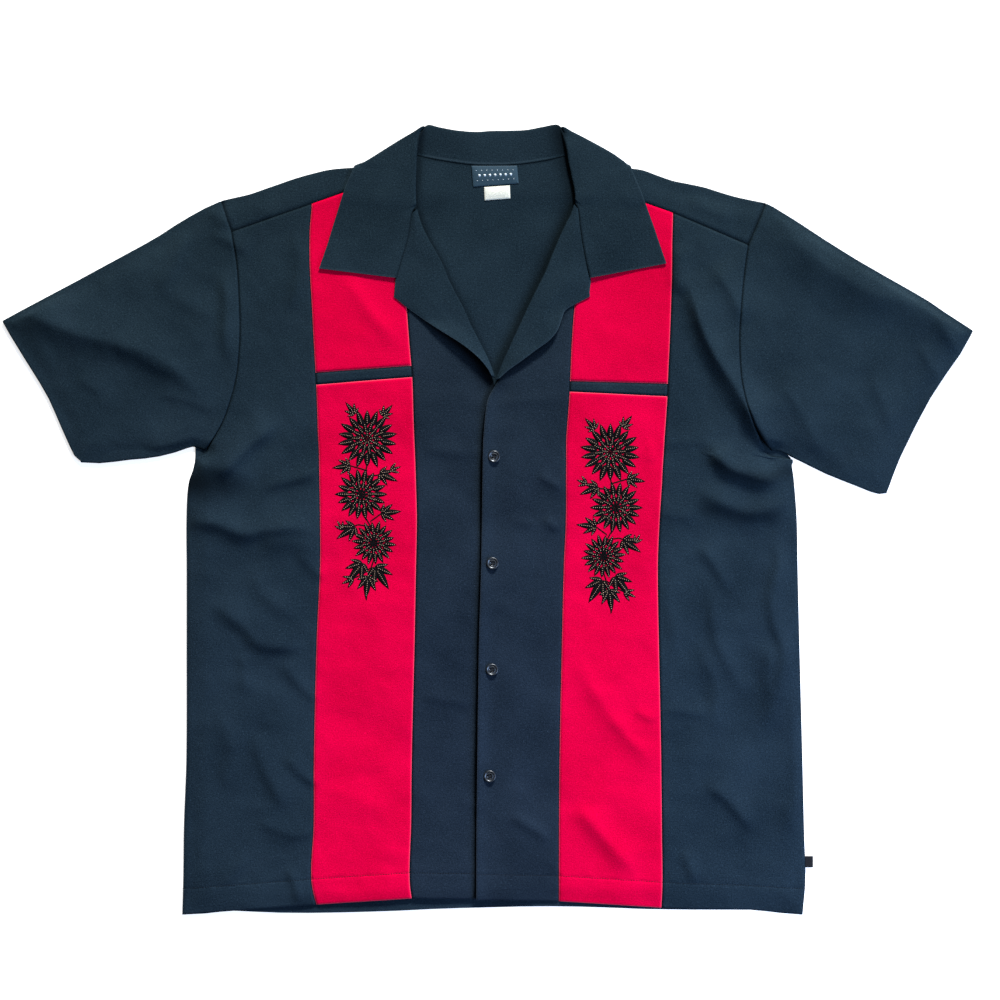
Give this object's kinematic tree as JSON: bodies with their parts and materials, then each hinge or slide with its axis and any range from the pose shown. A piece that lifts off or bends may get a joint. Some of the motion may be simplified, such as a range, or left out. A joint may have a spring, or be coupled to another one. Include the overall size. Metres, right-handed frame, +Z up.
{
  "type": "bowling shirt",
  "caption": "Short-sleeved bowling shirt laid flat, with an open camp collar, lapels, buttoned front, a contrasting strip down each side of the front and a narrow pocket welt across it.",
  "frame": {"origin": "middle of the shirt's outline in plan, on the surface that the shirt lies on", "axes": "+X to the viewer's right from cuff to cuff, +Y up the shirt from hem to collar, +Z up from the surface, out of the shirt's front"},
  "size_m": [1.0189, 0.8284, 0.0132],
  "materials": {
    "dark_cloth": "matt plain weave",
    "red_cloth": "matt plain weave",
    "buttons": "polished resin",
    "dark_label": "woven label",
    "care_label": "satin tape",
    "side_tab": "woven tape"
  },
  "bodies": {
    "root": {"back": "dark_cloth", "button_1": "buttons", "button_2": "buttons", "button_3": "buttons", "button_4": "buttons", "care_label": "care_label", "centre_front_left": "dark_cloth", "centre_front_right": "dark_cloth", "collar": "dark_cloth", "lapel_left": "dark_cloth", "lapel_right": "dark_cloth", "neck_label": "dark_label", "pocket_welt_left": "dark_cloth", "pocket_welt_right": "dark_cloth", "side_front_left": "dark_cloth", "side_front_right": "dark_cloth", "side_tab": "side_tab", "sleeve_left": "dark_cloth", "sleeve_right": "dark_cloth", "strip_lower_left": "red_cloth", "strip_lower_right": "red_cloth", "strip_upper_left": "red_cloth", "strip_upper_right": "red_cloth"}
  },
  "joints": []
}
